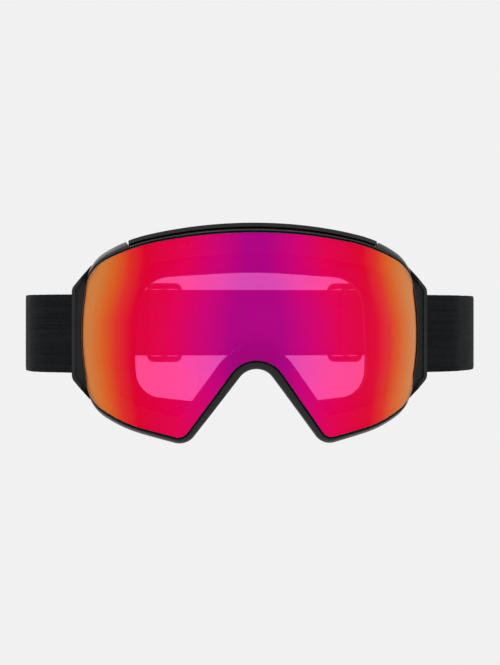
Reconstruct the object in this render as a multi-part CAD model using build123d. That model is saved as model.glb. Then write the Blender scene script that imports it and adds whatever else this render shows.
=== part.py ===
from build123d import *
import math
import os

# Ski goggles with a magnetic toric lens.  Millimetres, +Z up, the lens faces -Y.
# The origin is the middle of the face seat, between the eyes, on the skin side of the fleece.
# Right and left are the viewer's, so "right" is +X.

# ---------------------------------------------------------------- driving dimensions
LENS_APEX_Y = -48.0          # foremost point of the lens
LENS_RADIUS_ACROSS = 100.0   # curve of the lens from side to side
LENS_RADIUS_UP = 220.0       # curve of the lens from top to bottom
FACE_RADIUS = 100.0          # curve of the skin side of the fleece
WEBBING_WIDTH = 41.0
WEBBING_THICKNESS = 1.4
LAYER_GAP = 0.3              # between the two layers of the doubled strap
STRAP_LEVEL = -0.6           # height of the middle of the strap at the clips
STRAP_REAR_LEVEL = 6.4       # and at the back of the head
STRAP_REAR_Y = 184.0         # middle of the webbing at the back of the head
# Side view of the strap's middle line: y, z, bend radius
STRAP_RISE = [
    (0.0, STRAP_LEVEL, 0.0),
    (158.0, 1.0, 20.0),
    (174.0, STRAP_REAR_LEVEL, 20.0),
    (210.0, STRAP_REAR_LEVEL, 0.0),
]

# Depths below the front of the lens, measured square to its surface
OUTER_LENS_DEPTH = (0.0, 2.2)
GASKET_DEPTH = (2.25, 5.25)
INNER_LENS_DEPTH = (5.3, 6.3)
CARRIER_RIM_FRONT = 0.3
CARRIER_LEDGE_FRONT = 2.3
CARRIER_BACK = 6.4
FRAME_FRONT = 6.7
FRAME_RING_BACK = 9.7
BRIM_DEPTH = (0.6, 21.0)
MAGNET_THICKNESS = 2.0

# Radii of the layers behind the frame, about the upright axis of the face curve
FLANGE_RADIUS = (FACE_RADIUS + 20.5, FACE_RADIUS + 18.0)
FOAM_BASE_RADIUS = (FACE_RADIUS + 18.0, FACE_RADIUS + 10.0)
FOAM_MIDDLE_RADIUS = (FACE_RADIUS + 10.0, FACE_RADIUS + 2.5)
FLEECE_RADIUS = (FACE_RADIUS + 2.5, FACE_RADIUS)

# Right halves of the outlines seen from the front: x, z, corner radius, from the top centre
# round the right side to the middle of the nose.
LENS_OUTLINE = [
    (0.0, 52.5, 280.0),
    (59.5, 42.8, 100.0),
    (82.7, 32.5, 19.5),
    (87.1, -1.8, 110.0),
    (81.9, -34.6, 17.5),
    (64.0, -45.1, 65.0),
    (34.9, -51.9, 6.0),
    (0.0, -3.4, 14.4),
]
CARRIER_OUTLINE = [
    (0.0, 57.9, 270.0),
    (62.3, 46.2, 75.0),
    (82.9, 35.5, 20.0),
    (85.8, -1.8, 110.0),
    (82.2, -37.0, 20.0),
    (64.5, -47.3, 70.0),
    (33.3, -54.9, 9.0),
    (0.0, -10.7, 10.0),
]
FACE_PORT = [
    (0.0, 30.4, 260.0),
    (56.0, 27.1, 16.0),
    (58.6, -14.0, 60.0),
    (57.3, -31.2, 13.0),
    (28.0, -34.1, 4.0),
    (0.0, 6.2, 15.0),
]

# How far each outline lies inside its parent, all round and then beside the nose
INNER_LENS_INSET = (6.0, 4.4)
GASKET_INNER_INSET = (10.0, 7.3)
LEDGE_INSET = (5.6, 4.0)
FRAME_PORT_INSET = (9.5, 7.5)
FRAME_OUTER_INSET = (1.9, 1.9)
WALL_OUTER_INSET = (7.5, 5.6)
WALL_INNER_INSET = (9.7, 7.8)
FACE_INSET = (7.0, 3.6)
MIDDLE_STEP_IN = 0.6         # outer edge of each softer layer inside the one before
FOAM_BASE_OUTSET = (-0.4, 0.0)
FOAM_MIDDLE_OUTSET = (-1.8, -0.2)
FLEECE_OUTSET = (-3.2, -0.4)
VENT_FOAM_INSET = (9.9, 11.9)
FRAME_SIDE_BACK_Y = 15.6     # the frame's front ring stops here beside the temples
BRIM_THICKNESS = 1.85
BRIM_GROOVE = 0.5
BRIM_BACK_RADIUS = FACE_RADIUS + 22.5
BRIM_HALF_WIDTH = 61.6
BRIM_RECESS_HALF_WIDTH = 62.2
LENS_EDGE_GAP = 0.15

MAGNET_WIDTH = 2.4
MAGNET_FIT = 0.05
# x, z, turn and length of each magnet pair on the right half; all but the first are mirrored
MAGNETS = [
    (0.0, 46.3, 0.0, 16.0),
    (44.0, 43.2, -10.0, 12.0),
    (82.0, 6.0, -90.0, 12.0),
    (56.0, -44.4, 13.0, 10.0),
]

VENT_WIDTH = 8.0
VENT_PITCH = 12.0
TOP_VENT_COUNT = 9
BOTTOM_VENTS_X = (44.0, 55.0, 66.0)
VENT_DEPTH = 12.0
VENT_BACK_RADIUS = FACE_RADIUS + 23.0
RIB_WIDTH = 1.6

WING_OUTER_X = 90.6
WING_FRONT_Y = 1.6
WING_BACK_Y = 18.4
WING_CLEARANCE = 0.3
WING_SILHOUETTE = [
    (77.0, 35.0), (81.0, 34.2), (WING_OUTER_X, 22.6), (WING_OUTER_X, -23.1), (81.0, -34.4), (77.0, -35.0)]
WING_CORNER_RADII = [2.0, 5.0, 5.0, 2.0]
WING_PLAN = [
    (79.2, 6.0), (86.0, WING_FRONT_Y), (WING_OUTER_X, WING_FRONT_Y + 0.6), (WING_OUTER_X, 12.0),
    (87.5, WING_BACK_Y), (79.2, WING_BACK_Y)]
WING_GROOVE = [(82.5, 29.7), (88.9, 22.0), (88.9, -22.5), (82.5, -30.2)]
WING_GROOVE_BACK_Y = 4.2
SCREW_POINTS = [(81.4, 21.5), (81.4, -21.5)]
SCREW_RADIUS = 0.95
SCREW_HEAD_RADIUS = 1.8
SCREW_HEAD = 1.2
SCREW_LENGTH = 8.0
SCREW_CLEARANCE = 0.03

PIN_X, PIN_Y = 82.8, 22.4
PIN_RADIUS = 1.5
PIN_HALF_LENGTH = 17.6
PIN_HEAD_RADIUS = 2.1
PIN_HEAD = 0.9
BARREL_RADIUS = 2.9
BARREL_HALF_LENGTH = 12.0
BARREL_FIT = 0.05
KNUCKLE_GAP = 0.3
KNUCKLE_END = 17.5
CLIP_REACH = 8.63            # from the hinge pin to the bar that the webbing goes round
CLIP_ANGLE = 45.0            # direction of the clip at rest, degrees from +X
CLIP_HALF_HEIGHT = 23.2
CLIP_SLOT_HALF_HEIGHT = 20.9
BAR_RADIUS = 1.4
WRAP_RADIUS = BAR_RADIUS + 0.1 + WEBBING_THICKNESS / 2
STRAP_ANGLE = 36.0           # direction in which the webbing leaves the clip
LOOP_LENGTH = 10.0           # webbing beside the bar that bends when the clip turns

FIRST_BEND_REACH = 28.2      # from the bar to the webbing's first bend
FIRST_BEND_RADIUS = 28.0

# The strap's middle line behind that bend, seen from above: x, y, bend radius
STRAP_BENDS = {
    "left": [
        (-121.5, 76.0, 100.0),
        (-113.4, 120.0, 150.0),
        (-100.9, 160.0, 55.0),
        (-78.1, STRAP_REAR_Y, 30.0),
    ],
    "right": [
        (133.1, 76.0, 90.0),
        (131.1, 120.0, 150.0),
        (123.1, 160.0, 55.0),
        (101.9, STRAP_REAR_Y, 30.0),
    ],
}
SLIDER_X = {"left": -43.0, "right": 70.0}
SLIDER_HALF_WIDTH = 11.0
SLIDER_HALF_HEIGHT = 24.5
SLIDER_CORNER_RADIUS = 4.4
SLIDER_SLOT_HALF_HEIGHT = 20.85
SLIDER_RAIL = 3.0
SLIDER_RAIL_OUT = (1.0, 2.6)
SLIDER_BAR_IN = (2.7, 4.0)
SLIDER_BAR_HALF_WIDTH = 1.7
TAB_REACH = 13.0
TAB_INNER_LAYER = 5.1

LENS_AXIS_Y = LENS_APEX_Y + LENS_RADIUS_ACROSS
FACE_AXIS_Y = FACE_RADIUS
BODY_HALF_HEIGHT = 70.0
PRISM_FRONT_Y = -70.0
PRISM_BACK_Y = 46.0
LAYER_STEP = WEBBING_THICKNESS + LAYER_GAP
SIDES = {"left": -1.0, "right": 1.0}


# ---------------------------------------------------------------- helpers
def unit(ax, ay, bx, by):
    length = math.hypot(bx - ax, by - ay)
    return (bx - ax) / length, (by - ay) / length


def shifted_corner(before, corner, after, shift, shift_after=None):
    """The corner of a path whose sides move by shift to the right of the way they run."""
    second = shift if shift_after is None else shift_after
    d1 = unit(before[0], before[1], corner[0], corner[1])
    d2 = unit(corner[0], corner[1], after[0], after[1])
    n1 = (d1[1], -d1[0])
    n2 = (d2[1], -d2[0])
    turn = d1[0] * d2[1] - d1[1] * d2[0]
    radius_change = (shift + second) / 2
    radius = corner[2] - radius_change if turn < 0 else corner[2] + radius_change
    x = corner[0] + (shift * n2[1] - second * n1[1]) / turn
    y = corner[1] + (second * n1[0] - shift * n2[0]) / turn
    return x, y, max(radius, 0.8)


def closed_outline(half):
    """Both halves of an outline that is given from the top centre to the nose."""
    return half + [(-x, z, r) for x, z, r in reversed(half[1:-1])]


def inset(half, distance, at_nose=None):
    """The half outline moved inwards by distance, and by at_nose on its last side."""
    ring = closed_outline(half)
    last = len(half) - 1
    nose = distance if at_nose is None else at_nose
    moved = []
    for i in range(len(half)):
        shift = nose if i == last else distance
        shift_after = nose if i >= last - 1 else distance
        moved.append(shifted_corner(ring[i - 1], ring[i], ring[(i + 1) % len(ring)], shift, shift_after))
    moved[0] = (0.0, moved[0][1], moved[0][2])
    moved[-1] = (0.0, moved[-1][1], moved[-1][2])
    return moved


def prism(half, y_from=PRISM_FRONT_Y, y_to=PRISM_BACK_Y):
    """The outline run straight from front to back."""
    ring = closed_outline(half)
    points = [(x, z) for x, z, _ in ring]
    radii = [r for _, _, r in ring]
    face = make_face(Plane.XZ * FilletPolyline(*points, radius=radii, close=True))
    return extrude(Pos(0, y_from, 0) * face, amount=y_to - y_from, dir=(0, 1, 0))


def ring_prism(outer, inner):
    return prism(outer) - prism(inner)


def toric_body(depth):
    """Everything behind the surface that lies depth below the front of the lens."""
    arc_radius = LENS_RADIUS_UP - depth
    arc_centre = LENS_RADIUS_ACROSS - LENS_RADIUS_UP
    height = BODY_HALF_HEIGHT
    end_radius = arc_centre + math.sqrt(arc_radius ** 2 - height ** 2)
    arc = ThreePointArc((end_radius, -height), (arc_centre + arc_radius, 0), (end_radius, height))
    sides = Polyline((end_radius, height), (0, height), (0, -height), (end_radius, -height))
    face = make_face(Plane.YZ * (arc + sides))
    return Pos(0, LENS_AXIS_Y, 0) * revolve(face, Axis.Z)


def toric_shell(front_depth, back_depth):
    return toric_body(front_depth) - toric_body(back_depth)


def face_body(radius):
    """Everything behind the cylinder of that radius about the upright axis of the face."""
    return Pos(0, FACE_AXIS_Y, 0) * Cylinder(radius, 2 * BODY_HALF_HEIGHT)


def face_layer(outer, inner, radii):
    return ring_prism(outer, inner) & (face_body(radii[0]) - face_body(radii[1]))


def block(x0, x1, y0, y1, z0, z1):
    centre = Pos((x0 + x1) / 2, (y0 + y1) / 2, (z0 + z1) / 2)
    return centre * Box(x1 - x0, y1 - y0, z1 - z0)


def behind_plane(y):
    reach = WING_OUTER_X + 10
    return block(-reach, reach, y, BODY_HALF_HEIGHT, -BODY_HALF_HEIGHT, BODY_HALF_HEIGHT)


def mirrored(shape):
    return mirror(shape, about=Plane.YZ)


def for_side(shape, side):
    return shape if SIDES[side] > 0 else mirrored(shape)


def at_strap_level(shape):
    return Pos(0, 0, STRAP_LEVEL) * shape


def one_solid(shape):
    return max(shape.solids(), key=lambda s: s.volume)


def all_solids(shapes):
    return Compound(children=[s for shape in shapes for s in shape.solids()])


# ---------------------------------------------------------------- lens body
def magnet_group(front_depth, growth):
    """One curved bar at each magnet place, between front_depth and its thickness below."""
    shell = toric_shell(front_depth, front_depth + MAGNET_THICKNESS)
    bars = []
    for x, z, turn, length in MAGNETS:
        bar = Box(length + growth, PRISM_BACK_Y - PRISM_FRONT_Y, MAGNET_WIDTH + growth)
        middle_y = (PRISM_FRONT_Y + PRISM_BACK_Y) / 2
        placed = one_solid(shell & (Pos(x, middle_y, z) * Rot(0, -turn, 0) * bar))
        bars.append(placed)
        if x:
            bars.append(mirrored(placed))
    return bars


def make_outer_lens():
    return one_solid(prism(LENS_OUTLINE) & toric_shell(*OUTER_LENS_DEPTH))


def make_inner_lens():
    return one_solid(prism(inset(LENS_OUTLINE, *INNER_LENS_INSET)) & toric_shell(*INNER_LENS_DEPTH))


def make_lens_gasket():
    ring = ring_prism(inset(LENS_OUTLINE, *INNER_LENS_INSET), inset(LENS_OUTLINE, *GASKET_INNER_INSET))
    return one_solid(ring & toric_shell(*GASKET_DEPTH))


def make_lens_carrier():
    outer = prism(CARRIER_OUTLINE)
    rim = (outer - prism(inset(LENS_OUTLINE, -LENS_EDGE_GAP))) & toric_shell(CARRIER_RIM_FRONT, CARRIER_BACK)
    ledge = outer - prism(inset(LENS_OUTLINE, *LEDGE_INSET))
    ledge = ledge & toric_shell(CARRIER_LEDGE_FRONT, CARRIER_BACK)
    above = outer - prism(inset(CARRIER_OUTLINE, BRIM_THICKNESS + BRIM_GROOVE))
    half = BRIM_RECESS_HALF_WIDTH
    recess = above & block(-half, half, PRISM_FRONT_Y, PRISM_BACK_Y, 20, BODY_HALF_HEIGHT)
    carrier = (rim + ledge) - recess
    for pocket in magnet_group(CARRIER_BACK - MAGNET_THICKNESS, MAGNET_FIT):
        carrier = carrier - pocket
    return one_solid(carrier)


# ---------------------------------------------------------------- frame body
def vent_cuts():
    """Slots through the wall of the frame along the brow and under the cheeks."""
    zone = toric_body(VENT_DEPTH) - face_body(VENT_BACK_RADIUS)
    half = VENT_WIDTH / 2
    cuts = []
    for i in range(TOP_VENT_COUNT):
        x = (i - (TOP_VENT_COUNT - 1) / 2) * VENT_PITCH
        cuts.append(zone & block(x - half, x + half, PRISM_FRONT_Y, PRISM_BACK_Y, 30, 60))
    for side in SIDES.values():
        for x in BOTTOM_VENTS_X:
            middle = side * x
            cuts.append(zone & block(middle - half, middle + half, PRISM_FRONT_Y, PRISM_BACK_Y, -60, -36))
    return cuts


def make_frame():
    front = ring_prism(inset(CARRIER_OUTLINE, *FRAME_OUTER_INSET), inset(LENS_OUTLINE, *FRAME_PORT_INSET))
    front = (front & toric_shell(FRAME_FRONT, FRAME_RING_BACK)) - behind_plane(FRAME_SIDE_BACK_Y)
    wall = ring_prism(inset(CARRIER_OUTLINE, *WALL_OUTER_INSET), inset(CARRIER_OUTLINE, *WALL_INNER_INSET))
    wall = (wall & toric_body(FRAME_RING_BACK - 0.2)) - face_body(FLANGE_RADIUS[1])
    flange = face_layer(inset(CARRIER_OUTLINE, *FACE_INSET), FACE_PORT, FLANGE_RADIUS)
    frame = front + wall + flange
    for cut in vent_cuts():
        frame = frame - cut
    for pocket in magnet_group(FRAME_FRONT, MAGNET_FIT):
        frame = frame - pocket
    for hole in screw_shafts(SCREW_CLEARANCE):
        frame = frame - hole
    return one_solid(frame)


def make_brim():
    """The thin roof over the brow vents, with the ribs that carry it on the frame."""
    half = BRIM_HALF_WIDTH
    over = block(-half, half, PRISM_FRONT_Y, PRISM_BACK_Y, 20, BODY_HALF_HEIGHT)
    roof = ring_prism(CARRIER_OUTLINE, inset(CARRIER_OUTLINE, BRIM_THICKNESS))
    roof = (roof & over & toric_shell(*BRIM_DEPTH)) - face_body(BRIM_BACK_RADIUS)
    web = ring_prism(inset(CARRIER_OUTLINE, BRIM_THICKNESS - 0.1), inset(CARRIER_OUTLINE, *WALL_OUTER_INSET))
    web = (web & over & toric_shell(FRAME_RING_BACK, BRIM_DEPTH[1])) - face_body(BRIM_BACK_RADIUS + 1.0)
    brim = roof
    for i in range(TOP_VENT_COUNT + 1):
        x = (i - TOP_VENT_COUNT / 2) * VENT_PITCH
        slice_x = block(x - RIB_WIDTH / 2, x + RIB_WIDTH / 2, PRISM_FRONT_Y, PRISM_BACK_Y, 20, 60)
        brim = brim + (web & slice_x)
    return one_solid(brim)


def make_vent_foam(x0, x1, z0, z1):
    """A strip of open foam pressed against the inside of the wall behind the vents."""
    strip = ring_prism(inset(CARRIER_OUTLINE, VENT_FOAM_INSET[0]), inset(CARRIER_OUTLINE, VENT_FOAM_INSET[1]))
    strip = strip & (toric_body(FRAME_RING_BACK + 0.1) - face_body(FLANGE_RADIUS[0] + 0.1))
    return one_solid(strip & block(x0, x1, PRISM_FRONT_Y, PRISM_BACK_Y, z0, z1))


def screw_shafts(clearance):
    """The four outrigger screws' shafts, along Y from the back of the wings."""
    shafts = []
    for side in SIDES.values():
        for x, z in SCREW_POINTS:
            middle_y = WING_BACK_Y - SCREW_LENGTH / 2
            shaft = Cylinder(SCREW_RADIUS + clearance, SCREW_LENGTH)
            shafts.append(Pos(side * x, middle_y, z) * Rot(90, 0, 0) * shaft)
    return shafts


def screw_heads(clearance):
    heads = []
    for side in SIDES.values():
        for x, z in SCREW_POINTS:
            head = Cone(SCREW_HEAD_RADIUS + clearance, SCREW_RADIUS + clearance, SCREW_HEAD)
            heads.append(Pos(side * x, WING_BACK_Y - SCREW_HEAD / 2, z) * Rot(90, 0, 0) * head)
    return heads


def make_outrigger_screws():
    return all_solids([shaft + head for shaft, head in zip(screw_shafts(0), screw_heads(0))])


def make_outrigger(side):
    """The wing beside the lens, with two knuckles behind it for the strap clip's pin."""
    silhouette = FilletPolyline(*WING_SILHOUETTE, radius=WING_CORNER_RADII)
    silhouette = silhouette + Line(WING_SILHOUETTE[-1], WING_SILHOUETTE[0])
    face = make_face(Plane.XZ * silhouette)
    depth = WING_BACK_Y - WING_FRONT_Y + 1
    front_view = extrude(Pos(0, WING_FRONT_Y - 1, 0) * face, amount=depth, dir=(0, 1, 0))
    plan_prism = extrude(make_face(Polyline(*WING_PLAN, close=True)), amount=40, both=True)
    wing = front_view & plan_prism
    keep_out = prism(inset(LENS_OUTLINE, -WING_CLEARANCE)) + prism(inset(CARRIER_OUTLINE, -WING_CLEARANCE))
    keep_out = keep_out - toric_body(FRAME_RING_BACK + 0.05) - behind_plane(FRAME_SIDE_BACK_Y + 0.05)
    wing = wing - keep_out
    groove = make_face(Plane.XZ * Polyline(*WING_GROOVE, close=True))
    groove_depth = WING_GROOVE_BACK_Y - WING_FRONT_Y + 2
    wing = wing - extrude(Pos(0, WING_FRONT_Y - 2, 0) * groove, amount=groove_depth, dir=(0, 1, 0))
    wing = one_solid(wing)
    knuckles = []
    for way in (1.0, -1.0):
        low = BARREL_HALF_LENGTH + KNUCKLE_GAP
        middle = way * (low + KNUCKLE_END) / 2
        length = KNUCKLE_END - low
        eye = Pos(PIN_X, PIN_Y, middle) * Cylinder(BARREL_RADIUS, length)
        foot_depth = PIN_Y - WING_BACK_Y + 1.0
        foot = Pos(PIN_X, PIN_Y - foot_depth / 2, middle) * Box(2 * BARREL_RADIUS, foot_depth, length)
        knuckles.append(at_strap_level(eye + foot))
    wing = wing + knuckles[0] + knuckles[1]
    wing = wing - at_strap_level(Pos(PIN_X, PIN_Y, 0) * Cylinder(PIN_RADIUS + 0.02, 4 * PIN_HALF_LENGTH))
    for hole in screw_shafts(SCREW_CLEARANCE) + screw_heads(SCREW_CLEARANCE):
        wing = wing - hole
    return for_side(one_solid(wing), side)


def make_hinge_pin(side):
    pin = Cylinder(PIN_RADIUS, 2 * PIN_HALF_LENGTH)
    head = Pos(0, 0, PIN_HALF_LENGTH + PIN_HEAD / 2) * Cylinder(PIN_HEAD_RADIUS, PIN_HEAD)
    return for_side(at_strap_level(Pos(PIN_X, PIN_Y, 0) * (pin + head)), side)


# ---------------------------------------------------------------- strap clips
def make_strap_clip(side):
    """The buckle that turns on the hinge pin; modelled along +X from the pin, then turned."""
    barrel = Cylinder(BARREL_RADIUS, 2 * BARREL_HALF_LENGTH)
    neck = Pos(2.4, 0, 0) * Box(4.0, 3.6, 2 * BARREL_HALF_LENGTH)
    post = Pos(4.3, 0, 0) * Box(2.0, 3.6, 2 * CLIP_HALF_HEIGHT)
    arm_height = CLIP_HALF_HEIGHT - CLIP_SLOT_HALF_HEIGHT
    clip = barrel + neck + post
    for way in (1.0, -1.0):
        middle = way * (CLIP_SLOT_HALF_HEIGHT + arm_height / 2)
        arm = Pos((3.3 + CLIP_REACH) / 2, 0, middle) * Box(CLIP_REACH - 3.3, 3.2, arm_height)
        tip = Pos(CLIP_REACH, 0, middle) * Cylinder(1.6, arm_height)
        clip = clip + arm + tip
    clip = clip + Pos(CLIP_REACH, 0, 0) * Cylinder(BAR_RADIUS, 2 * CLIP_SLOT_HALF_HEIGHT + 1)
    clip = clip - Cylinder(PIN_RADIUS + BARREL_FIT, 4 * PIN_HALF_LENGTH)
    placed = at_strap_level(Pos(PIN_X, PIN_Y, 0) * Rot(0, 0, CLIP_ANGLE) * clip)
    return for_side(one_solid(placed), side)


# ---------------------------------------------------------------- strap
def strap_directions(side):
    """The way the webbing leaves the clip, and the way out of the strap loop there."""
    angle = math.radians(STRAP_ANGLE)
    sign = SIDES[side]
    along = (sign * math.cos(angle), math.sin(angle))
    outward = (sign * math.sin(angle), -math.cos(angle))
    return along, outward


def clip_point(side, along_by, outward_by):
    """A point beside the bar of the clip, by distances along and out of the webbing."""
    angle = math.radians(CLIP_ANGLE)
    bar_x = SIDES[side] * (PIN_X + CLIP_REACH * math.cos(angle))
    bar_y = PIN_Y + CLIP_REACH * math.sin(angle)
    along, outward = strap_directions(side)
    x = bar_x + along_by * along[0] + outward_by * outward[0]
    y = bar_y + along_by * along[1] + outward_by * outward[1]
    return x, y


def strap_line(side):
    """One half of the outer layer's middle line, from the clip to the back of the head."""
    start = clip_point(side, LOOP_LENGTH, WRAP_RADIUS)
    first = clip_point(side, FIRST_BEND_REACH, WRAP_RADIUS)
    line = [(*start, 0.0), (*first, FIRST_BEND_RADIUS)]
    return line + STRAP_BENDS[side]


def offset_path(path, shift):
    """An open path moved by shift to the right of the way it runs."""
    d = unit(path[0][0], path[0][1], path[1][0], path[1][1])
    moved = [(path[0][0] + shift * d[1], path[0][1] - shift * d[0], 0.0)]
    for i in range(1, len(path) - 1):
        moved.append(shifted_corner(path[i - 1], path[i], path[i + 1], shift))
    d = unit(path[-2][0], path[-2][1], path[-1][0], path[-1][1])
    moved.append((path[-1][0] + shift * d[1], path[-1][1] - shift * d[0], 0.0))
    return moved


def rounded(path):
    points = [(x, y) for x, y, _ in path]
    radii = [r for _, _, r in path[1:-1]]
    return FilletPolyline(*points, radius=radii)


def strap_band():
    """The side view of the webbing's height, run across the whole width of the strap."""
    top = [(y, z + WEBBING_WIDTH / 2, r) for y, z, r in STRAP_RISE]
    bottom = [(y, z - WEBBING_WIDTH / 2, r) for y, z, r in STRAP_RISE]
    ends = Line(top[0][:2], bottom[0][:2]) + Line(top[-1][:2], bottom[-1][:2])
    face = make_face(Plane.YZ * (rounded(top) + rounded(bottom) + ends))
    return extrude(face, amount=2 * WING_OUTER_X, both=True)


def webbing(path):
    """Flat webbing standing on edge along an open path seen from above."""
    one = offset_path(path, WEBBING_THICKNESS / 2)
    other = offset_path(path, -WEBBING_THICKNESS / 2)
    ends = Line(one[0][:2], other[0][:2]) + Line(one[-1][:2], other[-1][:2])
    face = make_face(rounded(one) + rounded(other) + ends)
    return extrude(face, amount=WEBBING_WIDTH, both=True) & strap_band()


def make_strap_main():
    right = strap_line("right")
    left = strap_line("left")
    return one_solid(webbing(right + left[::-1]))


def make_strap_return(side):
    """The inner layer, from the clip back to the slider."""
    line = strap_line(side)
    reach = SLIDER_X[side] + SIDES[side] * (TAB_REACH + LAYER_GAP)
    path = line + [(reach, STRAP_REAR_Y, 0.0)]
    inner = offset_path(path, -SIDES[side] * LAYER_STEP)
    return one_solid(webbing(inner))


def make_strap_loop(side):
    """The webbing's turn round the bar of the clip."""
    r = WRAP_RADIUS
    outer_end = clip_point(side, LOOP_LENGTH, r)
    first = clip_point(side, -r, r)
    second = clip_point(side, -r, -r)
    leave = clip_point(side, 1.6, -r)
    meet = clip_point(side, LOOP_LENGTH - 1.5, r - LAYER_STEP)
    inner_end = clip_point(side, LOOP_LENGTH, r - LAYER_STEP)
    path = [
        (*outer_end, 0.0),
        (*first, r - 0.05),
        (*second, r - 0.05),
        (*leave, 5.0),
        (*meet, 5.0),
        (*inner_end, 0.0),
    ]
    return one_solid(webbing(path))


def make_slider(side):
    """The tri-glide: two outer rails, a centre bar inside the strap, and two end rails."""
    x = SLIDER_X[side]
    y = STRAP_REAR_Y
    end = Polyline(
        (x - SLIDER_HALF_WIDTH, y + SLIDER_RAIL_OUT[1]), (x + SLIDER_HALF_WIDTH, y + SLIDER_RAIL_OUT[1]),
        (x + SLIDER_HALF_WIDTH, y), (x + 4.0, y - SLIDER_BAR_IN[1]), (x - 4.0, y - SLIDER_BAR_IN[1]),
        (x - SLIDER_HALF_WIDTH, y), close=True)
    height = SLIDER_HALF_HEIGHT - SLIDER_SLOT_HALF_HEIGHT
    slider = None
    for way in (1.0, -1.0):
        bottom = SLIDER_SLOT_HALF_HEIGHT if way > 0 else -SLIDER_HALF_HEIGHT
        rail = extrude(Pos(0, 0, bottom) * make_face(end), amount=height)
        rail = fillet(rail.edges().filter_by(Axis.Z).group_by(Axis.Y)[-1], 1.4)
        slider = rail if slider is None else slider + rail
    top = SLIDER_SLOT_HALF_HEIGHT + 0.5
    front, back = y + SLIDER_RAIL_OUT[0], y + SLIDER_RAIL_OUT[1]
    for left in (x - SLIDER_HALF_WIDTH, x + SLIDER_HALF_WIDTH - SLIDER_RAIL):
        rail = block(left, left + SLIDER_RAIL, front, back, -top, top)
        slider = slider + fillet(rail.edges().filter_by(Axis.Z), 0.5)
    half = SLIDER_BAR_HALF_WIDTH
    bar = block(x - half, x + half, y - SLIDER_BAR_IN[1], y - SLIDER_BAR_IN[0], -top, top)
    outline = Plane.XZ * RectangleRounded(2 * SLIDER_HALF_WIDTH, 2 * SLIDER_HALF_HEIGHT, SLIDER_CORNER_RADIUS)
    reach = 2 * SLIDER_BAR_IN[1]
    front_view = extrude(Pos(x, y + reach, 0) * outline, amount=2 * reach, dir=(0, -1, 0))
    return one_solid(Pos(0, 0, STRAP_REAR_LEVEL) * ((slider + bar) & front_view))


def make_strap_tab(side):
    """The end of the webbing, sewn round the slider's centre bar."""
    sign = SIDES[side]
    x = SLIDER_X[side]
    y = STRAP_REAR_Y
    far = x - sign * (SLIDER_BAR_HALF_WIDTH + 0.5 + WEBBING_THICKNESS / 2)
    turn = (TAB_INNER_LAYER - LAYER_STEP) / 2 - 0.05
    path = [
        (x + sign * TAB_REACH, y - LAYER_STEP, 0.0),
        (far, y - LAYER_STEP, turn),
        (far, y - TAB_INNER_LAYER, turn),
        (x + sign * 3.2, y - TAB_INNER_LAYER, 5.0),
        (x + sign * 8.0, y - LAYER_STEP - WEBBING_THICKNESS - 0.1, 5.0),
        (x + sign * TAB_REACH, y - LAYER_STEP - WEBBING_THICKNESS - 0.1, 0.0),
    ]
    return one_solid(webbing(path))


# ---------------------------------------------------------------- the sub-parts
def build():
    face_outer = inset(CARRIER_OUTLINE, *FACE_INSET)
    middle_outer = inset(face_outer, MIDDLE_STEP_IN)
    fleece_outer = inset(middle_outer, MIDDLE_STEP_IN)
    base_port = inset(FACE_PORT, *FOAM_BASE_OUTSET)
    middle_port = inset(FACE_PORT, *FOAM_MIDDLE_OUTSET)
    fleece_port = inset(FACE_PORT, *FLEECE_OUTSET)
    parts = {
        "outer_lens": make_outer_lens(),
        "inner_lens": make_inner_lens(),
        "lens_gasket": make_lens_gasket(),
        "lens_carrier": make_lens_carrier(),
        "carrier_magnets": all_solids(magnet_group(CARRIER_BACK - MAGNET_THICKNESS, 0)),
        "frame": make_frame(),
        "frame_magnets": all_solids(magnet_group(FRAME_FRONT, 0)),
        "brim": make_brim(),
        "outrigger_screws": make_outrigger_screws(),
        "face_foam_base": one_solid(face_layer(face_outer, base_port, FOAM_BASE_RADIUS)),
        "face_foam_middle": one_solid(face_layer(middle_outer, middle_port, FOAM_MIDDLE_RADIUS)),
        "face_fleece": one_solid(face_layer(fleece_outer, fleece_port, FLEECE_RADIUS)),
        "top_vent_foam": make_vent_foam(-56.0, 56.0, 25.0, 60.0),
        "bottom_vent_foam_left": make_vent_foam(-71.0, -38.0, -60.0, -25.0),
        "bottom_vent_foam_right": make_vent_foam(38.0, 71.0, -60.0, -25.0),
        "strap_main": make_strap_main(),
    }
    for side in SIDES:
        parts["outrigger_" + side] = make_outrigger(side)
        parts["hinge_pin_" + side] = make_hinge_pin(side)
        parts["strap_clip_" + side] = make_strap_clip(side)
        parts["strap_loop_" + side] = make_strap_loop(side)
        parts["strap_return_" + side] = make_strap_return(side)
        parts["strap_tab_" + side] = make_strap_tab(side)
        parts["slider_" + side] = make_slider(side)
    return parts


os.makedirs("parts", exist_ok=True)
for name, shape in build().items():
    export_step(shape, "parts/" + name + ".step")
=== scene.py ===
import math

import bmesh
import bpy
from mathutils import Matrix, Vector, noise


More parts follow.
